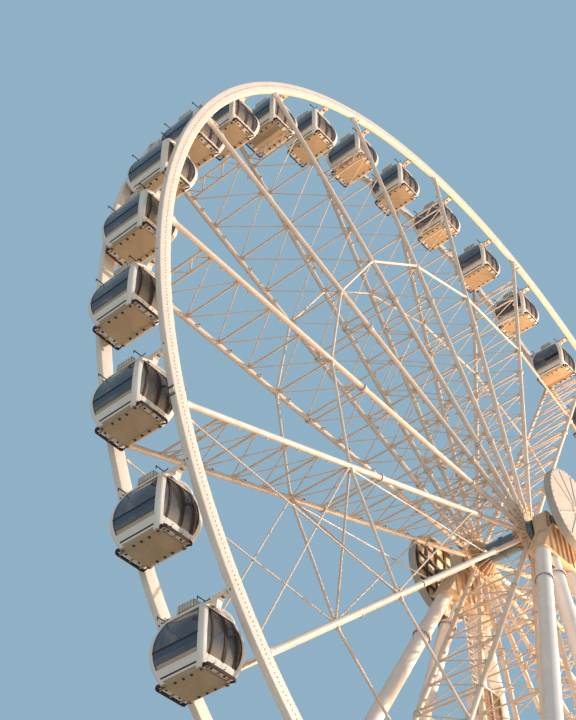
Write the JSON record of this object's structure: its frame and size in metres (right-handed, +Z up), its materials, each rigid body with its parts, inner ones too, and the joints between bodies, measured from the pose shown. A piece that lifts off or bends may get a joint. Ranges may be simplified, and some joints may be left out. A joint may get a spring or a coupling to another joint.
{
  "type": "ferris wheel, 1:2 scale model",
  "caption": "Open-frame fairground wheel with twin box rims, two-chord spokes, level glazed cabins and splayed tube legs, as a half-size model.",
  "frame": {"origin": "on the ground, under the middle of the hub", "axes": "+X to the right in the wheel's plane, +Y along the main axle to the far side, +Z up"},
  "size_m": [24.5198, 7.906, 25.5],
  "materials": {
    "cream_paint": "cream paint over steel, satin, slightly chalked",
    "cabin_paint": "off-white gloss paint on the cabin shell",
    "support_steel": "pale grey-cream paint, satin",
    "hub_slate": "slate blue-grey paint, satin",
    "disc_bronze": "grey rim with golden-brown panels",
    "cabin_glass": "dark tinted glass",
    "black_trim": "matt black seals, hooks and bumpers",
    "lamp_white": "small unlit lamp lenses"
  },
  "bodies": {
    "frame": {"main_axle": "hub_slate", "far_bearing_head": "support_steel", "near_bearing_head": "support_steel", "near_left_inner_leg": "cream_paint", "near_left_outer_leg": "cream_paint", "near_right_inner_leg": "cream_paint", "near_right_outer_leg": "cream_paint", "far_left_inner_leg": "cream_paint", "far_left_outer_leg": "cream_paint", "far_right_inner_leg": "cream_paint", "far_right_outer_leg": "cream_paint", "near_ground_beam": "support_steel", "far_ground_beam": "support_steel", "left_ground_tie": "support_steel", "right_ground_tie": "support_steel", "far_hub_disc": "disc_bronze", "near_hub_disc": "disc_bronze", "service_housing": "support_steel"},
    "wheel": {"near_rim": "cream_paint", "far_rim": "cream_paint", "spoke_sector_1": "cream_paint", "spoke_sector_2": "cream_paint", "spoke_sector_3": "cream_paint", "hub_drum": "hub_slate"},
    "cabin_01": {"cabin_01": "cabin_paint"},
    "cabin_02": {"cabin_02": "cabin_paint"},
    "cabin_03": {"cabin_03": "cabin_paint"},
    "cabin_04": {"cabin_04": "cabin_paint"},
    "cabin_05": {"cabin_05": "cabin_paint"},
    "cabin_06": {"cabin_06": "cabin_paint"},
    "cabin_07": {"cabin_07": "cabin_paint"},
    "cabin_08": {"cabin_08": "cabin_paint"},
    "cabin_09": {"cabin_09": "cabin_paint"},
    "cabin_10": {"cabin_10": "cabin_paint"},
    "cabin_11": {"cabin_11": "cabin_paint"},
    "cabin_12": {"cabin_12": "cabin_paint"},
    "cabin_13": {"cabin_13": "cabin_paint"},
    "cabin_14": {"cabin_14": "cabin_paint"},
    "cabin_15": {"cabin_15": "cabin_paint"},
    "cabin_16": {"cabin_16": "cabin_paint"},
    "cabin_17": {"cabin_17": "cabin_paint"},
    "cabin_18": {"cabin_18": "cabin_paint"},
    "cabin_19": {"cabin_19": "cabin_paint"},
    "cabin_20": {"cabin_20": "cabin_paint"},
    "cabin_21": {"cabin_21": "cabin_paint"},
    "cabin_22": {"cabin_22": "cabin_paint"},
    "cabin_23": {"cabin_23": "cabin_paint"},
    "cabin_24": {"cabin_24": "cabin_paint"},
    "cabin_25": {"cabin_25": "cabin_paint"},
    "cabin_26": {"cabin_26": "cabin_paint"},
    "cabin_27": {"cabin_27": "cabin_paint"},
    "cabin_28": {"cabin_28": "cabin_paint"},
    "cabin_29": {"cabin_29": "cabin_paint"},
    "cabin_30": {"cabin_30": "cabin_paint"},
    "cabin_31": {"cabin_31": "cabin_paint"},
    "cabin_32": {"cabin_32": "cabin_paint"},
    "cabin_33": {"cabin_33": "cabin_paint"},
    "cabin_34": {"cabin_34": "cabin_paint"},
    "cabin_35": {"cabin_35": "cabin_paint"},
    "cabin_36": {"cabin_36": "cabin_paint"}
  },
  "joints": [
    {"name": "wheel_spin", "type": "hinge", "parent": "frame", "child": "wheel", "pos_m": [0, 0, 13.5], "axis": [0, 1, 0], "continuous": true},
    {"name": "cabin_01_hang", "type": "hinge", "parent": "wheel", "child": "cabin_01", "pos_m": [11.80491, 0, 14.5328], "axis": [0, 1, 0], "continuous": true},
    {"name": "cabin_02_hang", "type": "hinge", "parent": "wheel", "child": "cabin_02", "pos_m": [11.44622, 0, 16.56701], "axis": [0, 1, 0], "continuous": true},
    {"name": "cabin_03_hang", "type": "hinge", "parent": "wheel", "child": "cabin_03", "pos_m": [10.73975, 0, 18.50803], "axis": [0, 1, 0], "continuous": true},
    {"name": "cabin_04_hang", "type": "hinge", "parent": "wheel", "child": "cabin_04", "pos_m": [9.70695, 0, 20.29688], "axis": [0, 1, 0], "continuous": true},
    {"name": "cabin_05_hang", "type": "hinge", "parent": "wheel", "child": "cabin_05", "pos_m": [8.37922, 0, 21.87921], "axis": [0, 1, 0], "continuous": true},
    {"name": "cabin_06_hang", "type": "hinge", "parent": "wheel", "child": "cabin_06", "pos_m": [6.79688, 0, 23.20695], "axis": [0, 1, 0], "continuous": true},
    {"name": "cabin_07_hang", "type": "hinge", "parent": "wheel", "child": "cabin_07", "pos_m": [5.00803, 0, 24.23975], "axis": [0, 1, 0], "continuous": true},
    {"name": "cabin_08_hang", "type": "hinge", "parent": "wheel", "child": "cabin_08", "pos_m": [3.06701, 0, 24.94622], "axis": [0, 1, 0], "continuous": true},
    {"name": "cabin_09_hang", "type": "hinge", "parent": "wheel", "child": "cabin_09", "pos_m": [1.0328, 0, 25.30491], "axis": [0, 1, 0], "continuous": true},
    {"name": "cabin_10_hang", "type": "hinge", "parent": "wheel", "child": "cabin_10", "pos_m": [-1.0328, 0, 25.30491], "axis": [0, 1, 0], "continuous": true},
    {"name": "cabin_11_hang", "type": "hinge", "parent": "wheel", "child": "cabin_11", "pos_m": [-3.06701, 0, 24.94622], "axis": [0, 1, 0], "continuous": true},
    {"name": "cabin_12_hang", "type": "hinge", "parent": "wheel", "child": "cabin_12", "pos_m": [-5.00803, 0, 24.23975], "axis": [0, 1, 0], "continuous": true},
    {"name": "cabin_13_hang", "type": "hinge", "parent": "wheel", "child": "cabin_13", "pos_m": [-6.79688, 0, 23.20695], "axis": [0, 1, 0], "continuous": true},
    {"name": "cabin_14_hang", "type": "hinge", "parent": "wheel", "child": "cabin_14", "pos_m": [-8.37922, 0, 21.87921], "axis": [0, 1, 0], "continuous": true},
    {"name": "cabin_15_hang", "type": "hinge", "parent": "wheel", "child": "cabin_15", "pos_m": [-9.70695, 0, 20.29688], "axis": [0, 1, 0], "continuous": true},
    {"name": "cabin_16_hang", "type": "hinge", "parent": "wheel", "child": "cabin_16", "pos_m": [-10.73975, 0, 18.50803], "axis": [0, 1, 0], "continuous": true},
    {"name": "cabin_17_hang", "type": "hinge", "parent": "wheel", "child": "cabin_17", "pos_m": [-11.44622, 0, 16.56701], "axis": [0, 1, 0], "continuous": true},
    {"name": "cabin_18_hang", "type": "hinge", "parent": "wheel", "child": "cabin_18", "pos_m": [-11.80491, 0, 14.5328], "axis": [0, 1, 0], "continuous": true},
    {"name": "cabin_19_hang", "type": "hinge", "parent": "wheel", "child": "cabin_19", "pos_m": [-11.80491, 0, 12.4672], "axis": [0, 1, 0], "continuous": true},
    {"name": "cabin_20_hang", "type": "hinge", "parent": "wheel", "child": "cabin_20", "pos_m": [-11.44622, 0, 10.43299], "axis": [0, 1, 0], "continuous": true},
    {"name": "cabin_21_hang", "type": "hinge", "parent": "wheel", "child": "cabin_21", "pos_m": [-10.73975, 0, 8.49197], "axis": [0, 1, 0], "continuous": true},
    {"name": "cabin_22_hang", "type": "hinge", "parent": "wheel", "child": "cabin_22", "pos_m": [-9.70695, 0, 6.70312], "axis": [0, 1, 0], "continuous": true},
    {"name": "cabin_23_hang", "type": "hinge", "parent": "wheel", "child": "cabin_23", "pos_m": [-8.37922, 0, 5.12078], "axis": [0, 1, 0], "continuous": true},
    {"name": "cabin_24_hang", "type": "hinge", "parent": "wheel", "child": "cabin_24", "pos_m": [-6.79688, 0, 3.79305], "axis": [0, 1, 0], "continuous": true},
    {"name": "cabin_25_hang", "type": "hinge", "parent": "wheel", "child": "cabin_25", "pos_m": [-5.00803, 0, 2.76025], "axis": [0, 1, 0], "continuous": true},
    {"name": "cabin_26_hang", "type": "hinge", "parent": "wheel", "child": "cabin_26", "pos_m": [-3.06701, 0, 2.05378], "axis": [0, 1, 0], "continuous": true},
    {"name": "cabin_27_hang", "type": "hinge", "parent": "wheel", "child": "cabin_27", "pos_m": [-1.0328, 0, 1.69509], "axis": [0, 1, 0], "continuous": true},
    {"name": "cabin_28_hang", "type": "hinge", "parent": "wheel", "child": "cabin_28", "pos_m": [1.0328, 0, 1.69509], "axis": [0, 1, 0], "continuous": true},
    {"name": "cabin_29_hang", "type": "hinge", "parent": "wheel", "child": "cabin_29", "pos_m": [3.06701, 0, 2.05378], "axis": [0, 1, 0], "continuous": true},
    {"name": "cabin_30_hang", "type": "hinge", "parent": "wheel", "child": "cabin_30", "pos_m": [5.00803, 0, 2.76025], "axis": [0, 1, 0], "continuous": true},
    {"name": "cabin_31_hang", "type": "hinge", "parent": "wheel", "child": "cabin_31", "pos_m": [6.79688, 0, 3.79305], "axis": [0, 1, 0], "continuous": true},
    {"name": "cabin_32_hang", "type": "hinge", "parent": "wheel", "child": "cabin_32", "pos_m": [8.37922, 0, 5.12078], "axis": [0, 1, 0], "continuous": true},
    {"name": "cabin_33_hang", "type": "hinge", "parent": "wheel", "child": "cabin_33", "pos_m": [9.70695, 0, 6.70312], "axis": [0, 1, 0], "continuous": true},
    {"name": "cabin_34_hang", "type": "hinge", "parent": "wheel", "child": "cabin_34", "pos_m": [10.73975, 0, 8.49197], "axis": [0, 1, 0], "continuous": true},
    {"name": "cabin_35_hang", "type": "hinge", "parent": "wheel", "child": "cabin_35", "pos_m": [11.44622, 0, 10.43299], "axis": [0, 1, 0], "continuous": true},
    {"name": "cabin_36_hang", "type": "hinge", "parent": "wheel", "child": "cabin_36", "pos_m": [11.80491, 0, 12.4672], "axis": [0, 1, 0], "continuous": true}
  ],
  "couplings": [
    {"joint": "cabin_01_hang", "follows": "wheel_spin", "ratio": -1},
    {"joint": "cabin_02_hang", "follows": "wheel_spin", "ratio": -1},
    {"joint": "cabin_03_hang", "follows": "wheel_spin", "ratio": -1},
    {"joint": "cabin_04_hang", "follows": "wheel_spin", "ratio": -1},
    {"joint": "cabin_05_hang", "follows": "wheel_spin", "ratio": -1},
    {"joint": "cabin_06_hang", "follows": "wheel_spin", "ratio": -1},
    {"joint": "cabin_07_hang", "follows": "wheel_spin", "ratio": -1},
    {"joint": "cabin_08_hang", "follows": "wheel_spin", "ratio": -1},
    {"joint": "cabin_09_hang", "follows": "wheel_spin", "ratio": -1},
    {"joint": "cabin_10_hang", "follows": "wheel_spin", "ratio": -1},
    {"joint": "cabin_11_hang", "follows": "wheel_spin", "ratio": -1},
    {"joint": "cabin_12_hang", "follows": "wheel_spin", "ratio": -1},
    {"joint": "cabin_13_hang", "follows": "wheel_spin", "ratio": -1},
    {"joint": "cabin_14_hang", "follows": "wheel_spin", "ratio": -1},
    {"joint": "cabin_15_hang", "follows": "wheel_spin", "ratio": -1},
    {"joint": "cabin_16_hang", "follows": "wheel_spin", "ratio": -1},
    {"joint": "cabin_17_hang", "follows": "wheel_spin", "ratio": -1},
    {"joint": "cabin_18_hang", "follows": "wheel_spin", "ratio": -1},
    {"joint": "cabin_19_hang", "follows": "wheel_spin", "ratio": -1},
    {"joint": "cabin_20_hang", "follows": "wheel_spin", "ratio": -1},
    {"joint": "cabin_21_hang", "follows": "wheel_spin", "ratio": -1},
    {"joint": "cabin_22_hang", "follows": "wheel_spin", "ratio": -1},
    {"joint": "cabin_23_hang", "follows": "wheel_spin", "ratio": -1},
    {"joint": "cabin_24_hang", "follows": "wheel_spin", "ratio": -1},
    {"joint": "cabin_25_hang", "follows": "wheel_spin", "ratio": -1},
    {"joint": "cabin_26_hang", "follows": "wheel_spin", "ratio": -1},
    {"joint": "cabin_27_hang", "follows": "wheel_spin", "ratio": -1},
    {"joint": "cabin_28_hang", "follows": "wheel_spin", "ratio": -1},
    {"joint": "cabin_29_hang", "follows": "wheel_spin", "ratio": -1},
    {"joint": "cabin_30_hang", "follows": "wheel_spin", "ratio": -1},
    {"joint": "cabin_31_hang", "follows": "wheel_spin", "ratio": -1},
    {"joint": "cabin_32_hang", "follows": "wheel_spin", "ratio": -1},
    {"joint": "cabin_33_hang", "follows": "wheel_spin", "ratio": -1},
    {"joint": "cabin_34_hang", "follows": "wheel_spin", "ratio": -1},
    {"joint": "cabin_35_hang", "follows": "wheel_spin", "ratio": -1},
    {"joint": "cabin_36_hang", "follows": "wheel_spin", "ratio": -1}
  ]
}
